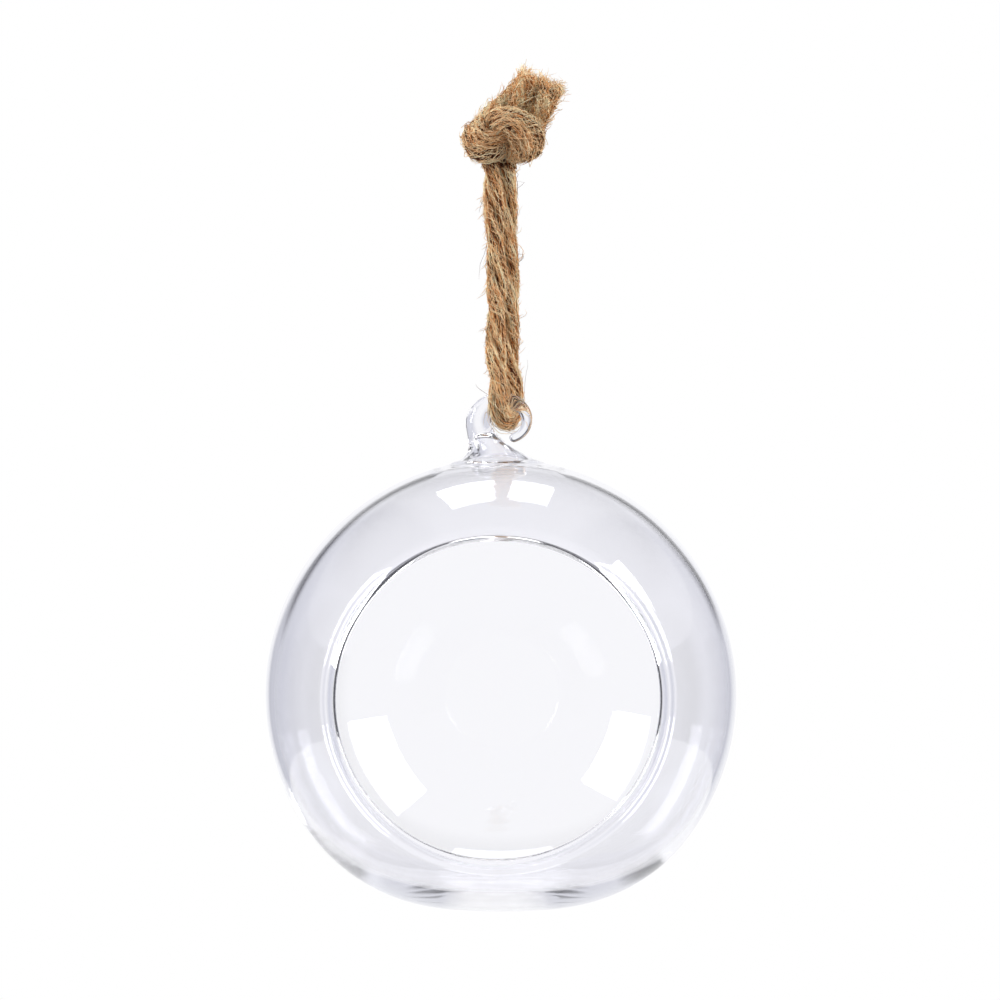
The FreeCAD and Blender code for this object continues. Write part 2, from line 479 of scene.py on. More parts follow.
def lipRow(g, phis, mouths, place, side):
    # side is 1 outside and -1 inside
    points = []
    for phi, mouth in zip(phis, mouths):
        thinning = smoothStep(g["lipThinFrom"], 1.0, math.sin(phi))
        lip = g["lipRadius"] - g["lipThinning"] * thinning
        if place < 0:
            away, offset = lip * math.sin(place), lip * math.cos(place)
        else:
            away = place
            offset = g["half"] + (lip - g["half"]) * math.exp(-(away / g["lipFade"]) ** 2)
        points.append(wallPoint(g, mouth + away / g["middleRadius"], phi, offset * side))
    return points


def farRow(g, phis, mouths, theta, offset):
    mouthMean = math.asin((g["mouthAcross"] + g["mouthUp"]) / 2 / g["middleRadius"])
    fade = 1 - smoothStep(math.radians(g["farStart"]), math.radians(g["farCalm"]), theta)
    return [wallPoint(g, theta + (mouth - mouthMean) * fade, phi, offset)
            for phi, mouth in zip(phis, mouths)]


def holeRim(g, rows, topRow):
    column, block = g["around"] // 4, g["block"]
    low, high = topRow - block, topRow + block
    left, right = column - block, column + block
    rim = [rows[low][j] for j in range(left, right)]
    rim += [rows[i][right] for i in range(low, high)]
    rim += [rows[high][j] for j in range(right, left, -1)]
    rim += [rows[i][left] for i in range(high, low, -1)]
    return rim


def makeGlobe(g, skin):
    # rows round the mouth's axis, outside and inside, with a square hole for the hook's foot
    around = g["around"]
    phis = [2 * math.pi * j / around for j in range(around)]
    mouths = [mouthTheta(g, phi) for phi in phis]
    places = lipPlaces(g)
    rowCount = round((180.0 - g["farStart"]) / g["rowStep"])
    thetas = [math.radians(g["farStart"]) + math.radians(g["rowStep"]) * k for k in range(rowCount)]
    outer = [skin.addRow(lipRow(g, phis, mouths, place, 1)) for place in places]
    outer += [skin.addRow(farRow(g, phis, mouths, theta, g["half"])) for theta in thetas]
    inner = [skin.addRow(lipRow(g, phis, mouths, place, -1)) for place in places[1:]]
    inner += [skin.addRow(farRow(g, phis, mouths, theta, -g["half"])) for theta in thetas]

    topRow = len(places) + round((90.0 - g["farStart"]) / g["rowStep"])
    rowsTaken = range(topRow - g["block"], topRow + g["block"])
    columnsTaken = range(around // 4 - g["block"], around // 4 + g["block"])
    for i in range(len(outer) - 1):
        skin.bridge(outer[i], outer[i + 1], columnsTaken if i in rowsTaken else ())
    skin.bridge(inner[0], outer[0])
    for i in range(len(inner) - 1):
        skin.bridge(inner[i + 1], inner[i], columnsTaken if i + 1 in rowsTaken else ())
    skin.addPole(outer[-1], wallPoint(g, math.pi, 0.0, g["half"]), True)
    skin.addPole(inner[-1], wallPoint(g, math.pi, 0.0, -g["half"]), False)
    return holeRim(g, outer, topRow), holeRim(g, inner, topRow - 1)    # one row fewer inside


def skinHeight(g, x, y, side):
    up = Vector((x, y, math.sqrt(g["globeRadius"] ** 2 - x * x - y * y))).normalized()
    return (up * skinReach(g, up)[side]).z


def stemRadius(g, rise):
    return g["rodRadius"] + g["footGain"] * (1 - rise) ** g["footFlare"]


def hollowRadius(g, rise):
    slope = g["footGain"] * g["footFlare"] * (1 - rise) ** (g["footFlare"] - 1) / g["eyeRise"]
    return stemRadius(g, rise) - g["footWall"] * math.sqrt(1 + slope ** 2)


def stemShift(g, rise):
    lean = math.sin(math.pi / 2 * min(max(rise, 0.0), 1.0)) ** g["stemSway"]
    return g["footOffset"] + (g["rodShift"] - g["footOffset"]) * lean


def stemRing(g, turns, rise, radius, side):
    # rise is 0 at the globe's top and 1 beside the eye, side is 1 outside and 0 inside
    shift = stemShift(g, rise)
    fading = smoothStep(g["footSoftEnd"] * g["footSpread"], g["footSpread"], radius)
    soft = g["footSoftness"] * (1 - fading)
    ring = []
    for turn in turns:
        x, y = shift + radius * math.cos(turn), radius * math.sin(turn)
        globe = skinHeight(g, x, y, side)
        foot = g["globeRadius"] + rise * g["eyeRise"]
        height = (globe + foot + math.sqrt((globe - foot) ** 2 + soft ** 2)) / 2
        ring.append(Vector((x, y, height)) + g["middle"])
    return ring


def rimTurns(g, skin, rim):
    flat = [skin.vertices[index] - g["middle"] for index in rim]
    return [math.atan2(point.y, point.x - g["footOffset"]) for point in flat]


def runOut(g, skin, rim, turns, side, spread):
    # from the square rim to a round ring, in three rings on the globe's skin
    rings = []
    for share in (0.35, 0.7, 1.0):
        ring = []
        for index, turn in zip(rim, turns):
            start = skin.vertices[index] - g["middle"]
            end = Vector((g["footOffset"] + spread * math.cos(turn), spread * math.sin(turn), 0))
            place = start.lerp(end, share)
            height = skinHeight(g, place.x, place.y, side)
            ring.append(Vector((place.x, place.y, height)) + g["middle"])
        rings.append(ring)
    return rings


def makeHollow(g, skin, rim):
    # inside: the hollow of the foot, which ends in a dome
    turns = rimTurns(g, skin, rim)
    rings = runOut(g, skin, rim, turns, 0, g["footSpread"] - g["hollowInset"])
    rises = (-0.52, -0.46, -0.40, -0.34, -0.29, -0.25, -0.21, -0.17, -0.12, -0.06, 0.0, 0.07,
             0.14, 0.21, 0.28, 0.35, g["hollowTop"])
    rings += [stemRing(g, turns, rise, hollowRadius(g, rise), 0) for rise in rises]
    lastRadius = hollowRadius(g, g["hollowTop"])
    for step in range(1, g["domeSteps"]):
        turn = math.pi / 2 * step / g["domeSteps"]
        rise = g["hollowTop"] + lastRadius * math.sin(turn) / g["eyeRise"]
        rings.append(stemRing(g, turns, rise, lastRadius * math.cos(turn), 0))
    rise = g["hollowTop"] + lastRadius / g["eyeRise"]
    tip = Vector((stemShift(g, rise), 0, g["globeRadius"] + rise * g["eyeRise"]))
    skin.addRings(rim, rings, tip + g["middle"])


def curlRadius(g, angle):
    left = (angle - g["tipAngle"]) / g["curlTurn"]
    return g["tipRadius"] + (g["rodRadius"] - g["tipRadius"]) * left ** 2


def curlPoint(g, angle):
    turn = math.radians(angle)
    reach = curlRadius(g, angle)
    return Vector((g["eyeOffset"] + math.cos(turn) * (g["eyeHalfWidth"] + reach), 0,
                   -g["eyeDrop"] + math.sin(turn) * (g["eyeHalfHeight"] + reach)))


def curlAlong(g, angle):
    return (curlPoint(g, angle - 1.0) - curlPoint(g, angle + 1.0)).normalized()


def curlRing(g, turns, angle, radius, forward=0.0):
    along = curlAlong(g, angle)
    inward = Vector((along.z, 0, -along.x))
    centre = curlPoint(g, angle) + along * forward
    return [centre + inward * (radius * math.cos(turn)) + Vector((0, radius * math.sin(turn), 0))
            for turn in turns]


def makeHook(g, skin, rim):
    # outside: the foot, the stem, the curl and its round tip
    turns = rimTurns(g, skin, rim)
    rings = runOut(g, skin, rim, turns, 1, g["footSpread"])
    for radius in (11.6, 11.0, 10.4, 9.9, 9.4, 8.95, 8.5, 8.1, 7.7, 7.3, 6.95, 6.6):
        rise = 1 - ((radius - g["rodRadius"]) / g["footGain"]) ** (1 / g["footFlare"])
        rings.append(stemRing(g, turns, rise, radius, 1))
    for rise in (0.085, 0.12, 0.16, 0.2, 0.25, 0.3, 0.35, 0.4, 0.46, 0.52, 0.58, 0.64, 0.7,
                 0.76, 0.82, 0.88, 0.94):
        rings.append(stemRing(g, turns, rise, stemRadius(g, rise), 1))
    for step in range(g["curlSteps"] + 1):
        angle = 180.0 - g["curlTurn"] * step / g["curlSteps"]
        rings.append(curlRing(g, turns, angle, curlRadius(g, angle)))
    for step in range(1, g["tipSteps"]):
        turn = math.pi / 2 * step / g["tipSteps"]
        rings.append(curlRing(g, turns, g["tipAngle"], g["tipRadius"] * math.cos(turn),
                              g["tipRadius"] * math.sin(turn)))
    tip = curlPoint(g, g["tipAngle"]) + curlAlong(g, g["tipAngle"]) * g["tipRadius"]
    skin.addRings(rim, rings, tip)


def makeGlass(g):
    skin = Skin()
    outerRim, innerRim = makeGlobe(g, skin)
    makeHollow(g, skin, innerRim)
    makeHook(g, skin, outerRim)
    mesh = bpy.data.meshes.new("glass_skin")
    mesh.from_pydata([tuple(v * mm for v in vertex) for vertex in skin.vertices], [], skin.faces)
    shell = bmesh.new()
    shell.from_mesh(mesh)
    bmesh.ops.recalc_face_normals(shell, faces=shell.faces)
    if shell.calc_volume(signed=True) < 0:
        bmesh.ops.reverse_faces(shell, faces=shell.faces)
    openEdges = sum(1 for edge in shell.edges if not edge.is_manifold)
    print("glass volume", round(shell.calc_volume(signed=True) / mm ** 3), "open edges",
          openEdges, "triangles", sum(len(face.verts) - 2 for face in shell.faces))
    shell.to_mesh(mesh)
    shell.free()
    mesh.polygons.foreach_set("use_smooth", [True] * len(mesh.polygons))
    mesh.update()
    return mesh


def glassMaterial(g):
    material, look = newMaterial("clear_glass")
    place = look.out("ShaderNodeTexCoord", "object")
    swirl = look.out("ShaderNodeTexNoise", "fac", None, vector=place, scale=g["swirlScale"],
                     detail=1.5, roughness=0.4)
    bump = look.out("ShaderNodeBump", "normal", None, height=swirl, strength=0.25,
                    distance=g["swirlDepth"])
    shade = look.node("ShaderNodeBsdfPrincipled", base_color=g["colour"], roughness=0.0,
                      ior=g["ior"], transmission_weight=1.0, normal=bump)
    end = look.node("ShaderNodeOutputMaterial")
    look.tree.links.new(shade.outputs[0], end.inputs[0])
    return material


def addPiece(name, mesh, material):
    piece = bpy.data.objects.new(name, mesh)
    scene.collection.objects.link(piece)
    mesh.materials.append(material)
    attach(piece, "root")
    return piece


glassPiece = addPiece("blown_globe", makeGlass(glass), glassMaterial(glass))
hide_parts("glass_vase")
print("glass ready")


# Rope: plies of fibre that wind round the route, as thick cores, a coat of fibres and loose hairs
winding = {
    "sample": 0.4 * mm,          # between the places where the route is read
    "latestStart": 0.97,         # of the route
    "raggedLeast": 0.3,          # of the ragged length, for the fibre that is cut back least
    "turnWave": 260.0,           # waves per metre: of a fibre's way round its ply,
    "liftWave": 420.0,           # of its way off the ply,
    "clumpWave": 120.0,          # of the clumps that it lies in
    "curlWave": 170.0,           # and of its loose end
    "turnReach": 6.0,            # how far Wander moves it round
    "liftReach": 1.2,            # and off
    "turnSpread": 3.7,           # these keep the waves of two fibres, plies or routes apart
    "liftSpread": 5.3,
    "liftShift": 40.0,
    "curlSpread": 2.9,
    "plySpread": 31.0,
    "routeSpread": 17.0,
    "routeStride": 7919,         # between the numbers of the fibres on two routes
    "endSharpness": 4.0,         # End lift works near a fibre's two ends only
    "tipRarity": 6.0,            # few tips stand far out
    "frayLeast": 0.3,
    "frayCurl": 1.2 * mm,
    "curlReach": 2.0,
    "taperSharpness": 3.0,
    "thinnest": 0.7,             # thickness of the thinnest fibre, and how much the others add
    "thickSpread": 0.6,
    "toneBase": 0.08,            # tone picks the colour: a share for each fibre and each clump; clumps that Clump lift raises come out lighter and sunk ones darker, painted light and shade
    "toneFibres": 0.80,
    "toneClumpsAndShade": 1.5,
}


def fibreTree(w):
    tree = bpy.data.node_groups.new("windFibres", "GeometryNodeTree")
    kinds = {
        "Geometry": ("Route",),
        "Int": ("Fibres", "Plies", "Seed", "Points", "Sides"),
        "Float": ("Pitch", "Ply offset", "Depth", "Width", "Fibre pitch", "Thickness", "Taper",
                  "Clumps", "Clump lift", "Shortest", "Longest", "End lift", "Tip lift", "Wander",
                  "Curl", "Fray", "Fray length", "Ragged"),
        "Material": ("Material",),
    }
    sockets = {name: kind for kind, names in kinds.items() for name in names}
    for name, kind in sockets.items():
        tree.interface.new_socket(name, in_out="INPUT", socket_type="NodeSocket" + kind)
    tree.interface.new_socket("Mesh", in_out="OUTPUT", socket_type="NodeSocketGeometry")
    wind = Recipe(tree)
    group = wind.node("NodeGroupInput")
    given = {name: Wire(tree, group.outputs[name]) for name in sockets}

    def random01(ident, offset):
        # each draw has an offset of its own
        return Wire(tree, wind.node("FunctionNodeRandomValue", {"data_type": "FLOAT"}, id=ident,
                                    seed=given["Seed"] + offset).outputs[1])

    def vector(operation, first, second=None):
        return wind.out("ShaderNodeVectorMath", "vector", {"operation": operation}, n0=first,
                        n1=second)

    def scaled(direction, amount):
        return wind.out("ShaderNodeVectorMath", "vector", {"operation": "SCALE"}, n0=direction,
                        scale=amount)

    def noiseOf(output, across, along, third=None, detail=1.0):
        place = wind.out("ShaderNodeCombineXYZ", "vector", None, n0=across, n1=along, n2=third)
        return wind.out("ShaderNodeTexNoise", output, {"noise_dimensions": "3D"}, vector=place,
                        scale=1.0, detail=detail)

    def capture(geometry, domain, **values):
        node = wind.node("GeometryNodeCaptureAttribute", {"domain": domain}, geometry=geometry)
        for name, (kind, value) in values.items():
            node.capture_items.new(kind, name)
            plug(tree, node.inputs[name], value)
        return [Wire(tree, node.outputs[name]) for name in ("Geometry", *values)]

    # the route is read once, and each of its splines is copied for every fibre
    fine = wind.out("GeometryNodeResampleCurve", "curve", {"mode": "LENGTH"},
                    curve=given["Route"], length=w["sample"])
    kept, run, ahead, side = capture(
        fine, "POINT", run=("FLOAT", wind.out("GeometryNodeSplineParameter", "length")),
        ahead=("VECTOR", wind.out("GeometryNodeInputTangent", "tangent")),
        side=("VECTOR", wind.out("GeometryNodeInputNormal", "normal")))
    whole, total, spline = capture(
        kept, "CURVE", total=("FLOAT", wind.out("GeometryNodeSplineLength", "length")),
        spline=("INT", wind.out("GeometryNodeInputIndex", "index")))
    many = wind.node("GeometryNodeDuplicateElements", {"domain": "SPLINE"}, geometry=whole,
                     amount=given["Fibres"])
    index = Wire(tree, many.outputs["Duplicate Index"])
    ident = index + spline * w["routeStride"]

    # each fibre keeps a stretch of the route
    length = given["Shortest"] + (given["Longest"] - given["Shortest"]) * random01(ident, 1)
    begin = random01(ident, 2) * total - length * 0.5
    cutBack = w["raggedLeast"] + (1.0 - w["raggedLeast"]) * random01(ident, 9)
    last = total - given["Ragged"] * cutBack
    latest = total * w["latestStart"]
    cut = wind.out("GeometryNodeTrimCurve", "curve", {"mode": "LENGTH"},
                   curve=Wire(tree, many.outputs["Geometry"]),
                   start=begin.math("MAXIMUM", 0.0).math("MINIMUM", latest),
                   end=(begin + length).math("MINIMUM", last))
    coarse = wind.out("GeometryNodeResampleCurve", "curve", {"mode": "COUNT"}, curve=cut,
                      count=given["Points"])

    # where it lies: its ply goes round the route, and the fibre round the middle of its ply
    share = wind.out("GeometryNodeSplineParameter", "factor")
    ply = index.math("MODULO", given["Plies"])
    layer = (index / given["Plies"]).math("FLOOR") * given["Plies"] / given["Fibres"]
    plyTurn = run / given["Pitch"] * (2 * math.pi) + ply / given["Plies"] * (2 * math.pi)
    stray = noiseOf("fac", ident * w["turnSpread"], run * w["turnWave"]) - 0.5
    rising = noiseOf("fac", ident * w["liftSpread"] + w["liftShift"], run * w["liftWave"]) - 0.5
    fibreTurn = layer * (2 * math.pi) + run / given["Fibre pitch"] * (2 * math.pi)
    fibreTurn = fibreTurn + stray * given["Wander"] * w["turnReach"]
    cosine, sine = fibreTurn.math("COSINE"), fibreTurn.math("SINE")
    plyCosine, plySine = plyTurn.math("COSINE"), plyTurn.math("SINE")
    other = vector("CROSS_PRODUCT", ahead, side)
    radial = vector("ADD", scaled(side, plyCosine), scaled(other, plySine))
    tangent = vector("SUBTRACT", scaled(other, plyCosine), scaled(side, plySine))
    clump = noiseOf("fac", cosine * given["Clumps"], run * w["clumpWave"] + ply * w["plySpread"],
                    sine * given["Clumps"] + spline * w["routeSpread"])
    clump = (clump - 0.5) * 2.0
    uneven = 1.0 + rising * given["Wander"] * w["liftReach"] + clump * given["Clump lift"]
    deep = given["Depth"] * cosine * uneven
    wide = given["Width"] * sine * uneven
    offset = vector("ADD", scaled(radial, given["Ply offset"] + deep), scaled(tangent, wide))

    # its two ends lift off, its tip curls, and near the end of the route it frays
    away = vector("NORMALIZE", offset)
    ends = (share * 2.0 - 1.0) ** w["endSharpness"]
    rise = ends * given["End lift"] * random01(ident, 3)
    rise = rise + share * share * given["Tip lift"] * random01(ident, 4) ** w["tipRarity"]
    offset = vector("ADD", offset, scaled(away, rise))
    fray = (run - (total - given["Fray length"])) / given["Fray length"]
    fray = fray.math("MAXIMUM", 0.0)
    opening = fray * fray * given["Fray"] * (w["frayLeast"] + random01(ident, 5))
    offset = scaled(offset, 1.0 + opening)
    swirl = noiseOf("color", ident * w["curlSpread"], run * w["curlWave"], detail=0.0)
    bend = vector("SUBTRACT", swirl, (0.5, 0.5, 0.5))
    loose = share * given["Curl"] * random01(ident, 6) * w["curlReach"]
    loose = loose + fray * given["Fray"] * w["frayCurl"]
    offset = vector("ADD", offset, scaled(bend, loose))
    placed = wind.out("GeometryNodeSetPosition", "geometry", None, geometry=coarse, offset=offset)

    # its thickness and tone, and a tube round it
    thin = 1.0 - given["Taper"] * (share * 2.0 - 1.0).math("ABSOLUTE") ** w["taperSharpness"]
    thin = thin * (w["thinnest"] + w["thickSpread"] * random01(ident, 7))
    thin = 1.0 + (thin - 1.0) * given["Taper"].math("MINIMUM", 1.0)
    sized = wind.out("GeometryNodeSetCurveRadius", "curve", None, curve=placed,
                     radius=thin * given["Thickness"])
    # the clump share paints raised clumps lighter and sunk ones darker: painted light and shade on
    # top of the fibres' own tones
    tone = random01(ident, 8) * w["toneFibres"] + clump * w["toneClumpsAndShade"] + w["toneBase"]
    toned = wind.out("GeometryNodeStoreNamedAttribute", "geometry",
                     {"data_type": "FLOAT", "domain": "POINT"}, geometry=sized, name="tone",
                     value=tone)
    outline = wind.out("GeometryNodeCurvePrimitiveCircle", "curve", {"mode": "RADIUS"},
                       radius=1.0, resolution=given["Sides"])
    tube = wind.out("GeometryNodeCurveToMesh", "mesh", None, curve=toned, profile_curve=outline,
                    scale=wind.out("GeometryNodeInputRadius", "radius"), fill_caps=True)
    real = wind.out("GeometryNodeRealizeInstances", "geometry", None, geometry=tube)
    painted = wind.out("GeometryNodeSetMaterial", "geometry", None, geometry=real,
                       material=given["Material"])
    wind.node("NodeGroupOutput", n0=painted)
    return tree


def routeCurve(name, routes):
    data = bpy.data.curves.new(name, "CURVE")
    data.dimensions = "3D"
    for route in routes:
        spline = data.splines.new("NURBS")
        spline.points.add(len(route) - 1)
        for point, place in zip(spline.points, route):
            point.co = (*(value * mm for value in place), 1.0)
        spline.order_u = 3
        spline.use_endpoint_u = True
        spline.resolution_u = 24
    holder = bpy.data.objects.new(name, data)
    scene.collection.objects.link(holder)
    return holder


def windPiece(name, holder, tree, material, settings):
    piece = bpy.data.objects.new(name, holder.data)
    scene.collection.objects.link(piece)
    modifier = piece.modifiers.new("fibres", "NODES")
    modifier.node_group = tree
    named = {item.name: item.identifier for item in tree.interface.items_tree
             if item.in_out == "INPUT"}
    for key, value in settings.items():
        modifier[named[key]] = value
    modifier[named["Material"]] = material
    graph = bpy.context.evaluated_depsgraph_get()
    mesh = bpy.data.meshes.new_from_object(piece.evaluated_get(graph), depsgraph=graph)
    bpy.data.objects.remove(piece)
    mesh.name = name
    mesh.polygons.foreach_set("use_smooth", [True] * len(mesh.polygons))
    made = bpy.data.objects.new(name, mesh)
    scene.collection.objects.link(made)
    mesh.calc_loop_triangles()
    print(name, len(mesh.loop_triangles), "triangles")
    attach(made, "root")
    return made


jute = {
    "shadow": (0.08, 0.020, 0.005),       # painted shade for fibres sunk in the gaps; the stops below run up to their tops, painted lighter
    "middle": (0.76, 0.31, 0.100),
    "light": (1.00, 0.62, 0.29),
    "pale": (1.00, 0.87, 0.58),
    "fuzz": (0.80, 0.50, 0.26),           # loose hairs
    "straw": (1.00, 0.72, 0.42),
    "coreShade": (0.14, 0.042, 0.012),         # painted shade: cores, stray hairs and the knot's filling
    "patchScale": 170.0,
    "patchShare": 0.7,
    "speckScale": 1900.0,
    "speckShare": 0.3,
    "roughness": 0.62,
    "roughnessShare": 0.3,
}


def juteMaterial(j, name, stops, shift=0.0, contrast=1.0):
    # shift makes all of it lighter, or darker when negative, which paints light or shade onto a
    # copy; contrast draws light and dark fibres apart
    material, look = newMaterial(name)
    tone = look.out("ShaderNodeAttribute", "fac", {"attribute_name": "tone"})
    place = look.out("ShaderNodeTexCoord", "object")
    patch = look.out("ShaderNodeTexNoise", "fac", None, vector=place, scale=j["patchScale"],
                     detail=2.0)
    speck = look.out("ShaderNodeTexNoise", "fac", None, vector=place, scale=j["speckScale"],
                     detail=2.0)
    value = (tone - 0.5 + (patch - 0.5) * j["patchShare"]) * contrast
    value = value + (speck - 0.5) * j["speckShare"] + 0.5 + shift
    ramp = look.out("ShaderNodeValToRGB", "color", {"stops": stops}, fac=value)
    bump = look.out("ShaderNodeBump", "normal", None, height=speck, strength=0.5,
                    distance=0.00015)
    roughness = j["roughness"] + (speck - 0.5) * j["roughnessShare"]
    shade = look.node("ShaderNodeBsdfPrincipled", base_color=ramp, roughness=roughness,
                      normal=bump, specular_ior_level=0.2)
    end = look.node("ShaderNodeOutputMaterial")
    look.tree.links.new(shade.outputs[0], end.inputs[0])
    return material


# Lengths in metres. A negative pitch winds to the left, and core fibres run the whole route
ropeLay = {"Plies": 2, "Pitch": -0.029}
knotLay = {"Plies": 2, "Pitch": -0.060}
tailLay = {"Plies": 2, "Pitch": -0.034}
rope = {
    "route": [                   # millimetres, from the knot down through the eye and back up
        (-1.85, -1.00, 0.0),
        (-1.20, -1.30, -14.5),
        (-0.70, -1.20, -28.5),
        (-1.30, -2.30, -39.5),
        (-0.40, -4.10, -46.2),
        (-0.40, -4.10, -54.1),
        (2.75, 3.90, -54.1),
        (2.55, 3.90, -46.2),
        (1.50, 2.20, -39.5),
        (1.95, 1.20, -28.5),
        (1.35, 1.10, -14.5),
        (1.05, 1.10, 0.0),
    ],
    "diameter": 3.8,
    "core": {**ropeLay, "Fibres": 6, "Points": 260, "Sides": 12,
             "Ply offset": 0.00096, "Depth": 0.00022, "Width": 0.00050, "Fibre pitch": 0.021,
             "Thickness": 0.00078, "Taper": 0.0, "Shortest": 10.0, "Longest": 10.0,
             "Wander": 0.12, "Seed": 4},
    "coat": {**ropeLay, "Fibres": 1700, "Points": 14, "Sides": 3,
             "Ply offset": 0.00098, "Depth": 0.00094, "Width": 0.00136, "Fibre pitch": 0.044,
             "Thickness": 0.000080, "Taper": 0.8, "Shortest": 0.006, "Longest": 0.018,
             "Clumps": 2.8, "Clump lift": 0.42, "End lift": 0.00060, "Wander": 0.45,
             "Curl": 0.0006, "Seed": 9},
    "hairs": {**ropeLay, "Fibres": 950, "Points": 12, "Sides": 3,
              "Ply offset": 0.00098, "Depth": 0.00100, "Width": 0.00140,
              "Fibre pitch": -0.018, "Thickness": 0.000068, "Taper": 0.9,
              "Shortest": 0.0025, "Longest": 0.009, "End lift": 0.0006,
              "Tip lift": 0.0020, "Wander": 1.1, "Curl": 0.0026,
              "Seed": 21},
    "strays": {**ropeLay, "Fibres": 64, "Points": 16, "Sides": 3,
               "Ply offset": 0.00098, "Depth": 0.00090, "Width": 0.00120,
               "Fibre pitch": 0.05, "Thickness": 0.000042, "Taper": 0.8,
               "Shortest": 0.006, "Longest": 0.014, "Tip lift": 0.0075, "Wander": 0.5,
               "Curl": 0.0040, "Seed": 27},
}
# the cores, the stray hairs and the knot's filling are near black: painted shade in the gaps
# between fibres
paintedShadeLook = juteMaterial(jute, "jute_painted_shade", [(0.0, jute["shadow"]), (1.0, jute["coreShade"])])
coatStops = [(0.0, jute["shadow"]), (0.35, jute["middle"]), (0.7, jute["light"]),
             (1.0, jute["pale"])]
coatLook = juteMaterial(jute, "jute_fibre", coatStops, 0.10, 1.15)
# copies of the coat with painted light and shade: the knot and the necks are painted darker as
# shade, the tails painted lighter as light
knotShadeLook = juteMaterial(jute, "jute_knot_shaded", coatStops, -0.20, 1.3)
tailLightLook = juteMaterial(jute, "jute_tail_lit", coatStops, 0.36, 1.25)
neckShadeLook = juteMaterial(jute, "jute_neck_shaded", coatStops, -0.40, 1.15)
hairStops = [(0.0, jute["fuzz"]), (0.6, jute["straw"]), (1.0, jute["pale"])]
hairLook = juteMaterial(jute, "jute_hair", hairStops)
windTree = fibreTree(winding)
ropeRoute = routeCurve("rope_route", [rope["route"]])
ropeLine = bpy.data.meshes.new_from_object(ropeRoute)
ropeCore = windPiece("rope_plies", ropeRoute, windTree, paintedShadeLook, rope["core"])
ropeCoat = windPiece("rope_fibres", ropeRoute, windTree, coatLook, rope["coat"])
ropeHairs = windPiece("rope_hairs", ropeRoute, windTree, hairLook, rope["hairs"])
ropeStrays = windPiece("rope_strays", ropeRoute, windTree, paintedShadeLook, rope["strays"])
bpy.data.objects.remove(ropeRoute)


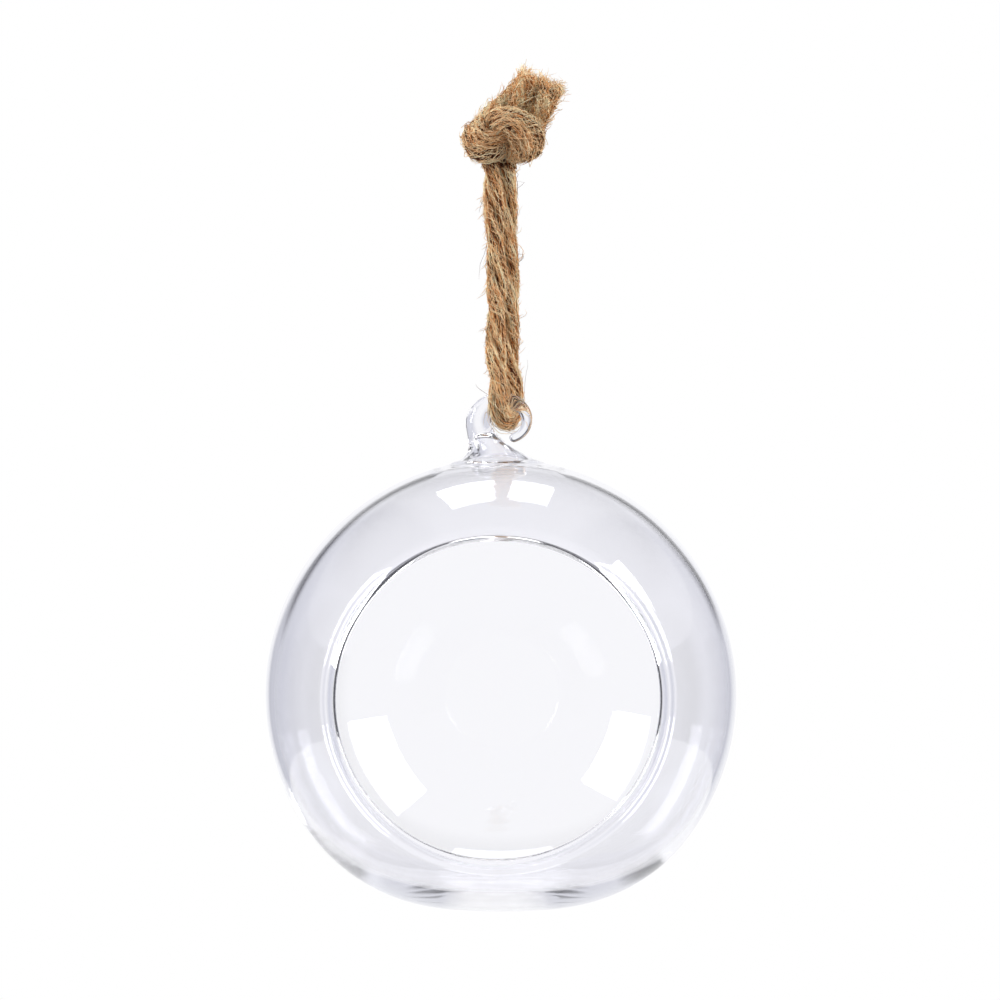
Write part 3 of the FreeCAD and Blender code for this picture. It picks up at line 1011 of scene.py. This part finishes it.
# Knot: the doubled rope takes one turn round itself and leaves in two frayed ends
knot = {
    "turns": [                   # two strands side by side round the left, and two over the top
        [(-2.5, 3.2, 8.2), (-5.0, 1.8, 8.0), (-6.0, -1.0, 5.6), (-4.8, -3.0, 2.7),
         (-1.8, -3.7, 2.2), (0.0, -2.6, 4.2), (1.6, -1.2, 6.8)],
        [(-1.0, 2.5, 9.2), (-2.9, 0.4, 9.3), (-4.0, -2.9, 7.4), (-3.0, -4.4, 5.2),
         (-0.8, -4.5, 5.0), (0.6, -3.0, 7.0), (2.0, -1.4, 8.2)],
        [(-3.0, 1.6, 6.8), (-2.0, -1.6, 9.0), (0.6, -4.2, 9.7), (4.0, -4.8, 9.0),
         (6.9, -3.8, 6.6), (6.9, -2.4, 3.6), (5.2, -1.0, 2.5), (3.0, 1.8, 3.2)],
        [(-2.0, 1.2, 5.6), (-1.2, -2.8, 7.6), (0.8, -5.2, 8.2), (3.4, -5.9, 6.9),
         (4.7, -5.0, 4.4), (4.3, -3.4, 2.6), (3.4, -1.0, 2.4), (2.6, 1.4, 3.4)],
    ],
    "tails": [
        [(-4.4, 1.5, 4.5), (-3.1, 1.6, 8.2), (-0.2, 1.2, 11.0), (2.9, 0.7, 13.8),
         (5.4, 0.2, 16.8), (7.6, -0.2, 20.0)],
        [(5.0, 2.8, 4.5), (6.2, 2.0, 8.4), (7.2, 1.1, 11.0), (8.7, 0.4, 13.4),
         (10.2, -0.1, 16.0), (11.3, -0.4, 18.6)],
    ],
    "neck": [                    # the rope's two legs run on into the knot
        [(-1.85, -1.00, -0.7), (-1.85, -0.90, 1.5), (-1.50, 0.20, 4.0), (-0.60, 1.00, 7.0)],
        [(1.05, 1.10, -0.7), (1.10, 1.20, 1.5), (1.50, 1.40, 4.0), (2.00, 1.40, 7.0)],
    ],
    "shadeLump": ((0.8, 0.4, 6.6), (4.0, 2.8, 3.6)),    # middle and half sizes of a dark lump of painted shade that fills it
    "shadeLumpBulge": 0.15,
    "core": {**knotLay, "Fibres": 6, "Points": 120, "Sides": 12,
             "Ply offset": 0.00072, "Depth": 0.00050, "Width": 0.00070, "Fibre pitch": 0.041,
             "Thickness": 0.00090, "Taper": 0.0, "Shortest": 10.0, "Longest": 10.0,
             "Wander": 0.10, "Seed": 5},
    "coat": {**knotLay, "Fibres": 620, "Points": 13, "Sides": 3,
             "Ply offset": 0.00072, "Depth": 0.00140, "Width": 0.00175, "Fibre pitch": 0.070,
             "Thickness": 0.000088, "Taper": 0.8, "Shortest": 0.005, "Longest": 0.014,
             "Clumps": 2.8, "Clump lift": 0.42, "End lift": 0.00080, "Wander": 0.42,
             "Curl": 0.0010, "Seed": 10},
    "hairs": {**knotLay, "Fibres": 520, "Points": 11, "Sides": 3,
              "Ply offset": 0.00072, "Depth": 0.00150, "Width": 0.00185,
              "Fibre pitch": -0.022, "Thickness": 0.000075, "Taper": 0.9,
              "Shortest": 0.003, "Longest": 0.009, "End lift": 0.0006,
              "Tip lift": 0.0009, "Wander": 1.2, "Curl": 0.0024,
              "Seed": 22},
    "tailCore": {**tailLay, "Fibres": 6, "Points": 120, "Sides": 12,
                 "Ply offset": 0.00090, "Depth": 0.00040, "Width": 0.00060,
                 "Fibre pitch": 0.041, "Thickness": 0.00090, "Taper": 0.0,
                 "Shortest": 10.0, "Longest": 10.0, "Wander": 0.10, "Ragged": 0.0075,
                 "Seed": 6},
    "tailCoat": {**tailLay, "Fibres": 1500, "Points": 11, "Sides": 3,
                 "Ply offset": 0.00100, "Depth": 0.00165, "Width": 0.00185,
                 "Fibre pitch": 0.050, "Thickness": 0.000085, "Taper": 0.8,
                 "Shortest": 0.004, "Longest": 0.010, "Clumps": 2.2, "Clump lift": 0.25,
                 "End lift": 0.0006, "Tip lift": 0.0014, "Wander": 0.9, "Curl": 0.0030,
                 "Fray": 0.40, "Fray length": 0.0050, "Ragged": 0.0030, "Seed": 31},
    "tailHairs": {**tailLay, "Fibres": 560, "Points": 11, "Sides": 3,
                  "Ply offset": 0.00100, "Depth": 0.00170, "Width": 0.00190,
                  "Fibre pitch": 0.09, "Thickness": 0.000070, "Taper": 0.9,
                  "Shortest": 0.003, "Longest": 0.009, "End lift": 0.0004,
                  "Tip lift": 0.0018, "Wander": 1.1, "Curl": 0.0040, "Fray": 0.45,
                  "Fray length": 0.0060, "Ragged": 0.001, "Seed": 23},
    "neckFibres": 130,           # otherwise the necks are wound like the rope
}


# a dark lump inside the knot, painted shade that shows through the gaps between its strands
def makeHeart(name, middle, size, lumpiness):
    mesh = bpy.data.meshes.new(name)
    lump = bmesh.new()
    bmesh.ops.create_icosphere(lump, subdivisions=4, radius=1.0)
    for vertex in lump.verts:
        bulge = 1 + lumpiness * noise.noise(vertex.co * 2.0)
        vertex.co = Vector([(middle[i] + vertex.co[i] * size[i] * bulge) * mm for i in range(3)])
    lump.to_mesh(mesh)
    lump.free()
    return addPiece(name, mesh, paintedShadeLook)


knotRoute = routeCurve("knot_route", knot["turns"])
tailRoute = routeCurve("tail_route", knot["tails"])
neckRoute = routeCurve("neck_route", knot["neck"])
knotCore = windPiece("knot_plies", knotRoute, windTree, paintedShadeLook, knot["core"])
knotCoat = windPiece("knot_fibres", knotRoute, windTree, knotShadeLook, knot["coat"])
knotHairs = windPiece("knot_hairs", knotRoute, windTree, hairLook, knot["hairs"])
tailCore = windPiece("tail_plies", tailRoute, windTree, paintedShadeLook, knot["tailCore"])
tailCoat = windPiece("tail_fibres", tailRoute, windTree, tailLightLook, knot["tailCoat"])
tailHairs = windPiece("tail_hairs", tailRoute, windTree, hairLook, knot["tailHairs"])
neckCore = windPiece("neck_plies", neckRoute, windTree, paintedShadeLook, rope["core"])
neckCoat = windPiece("neck_fibres", neckRoute, windTree, neckShadeLook,
                     {**rope["coat"], "Fibres": knot["neckFibres"]})
knotShadeLump = makeHeart("knot_shade_lump", *knot["shadeLump"], knot["shadeLumpBulge"])
for route in (knotRoute, tailRoute, neckRoute):
    bpy.data.objects.remove(route)
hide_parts("rope_knot")
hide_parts("rope_loop")
print("rope ready")
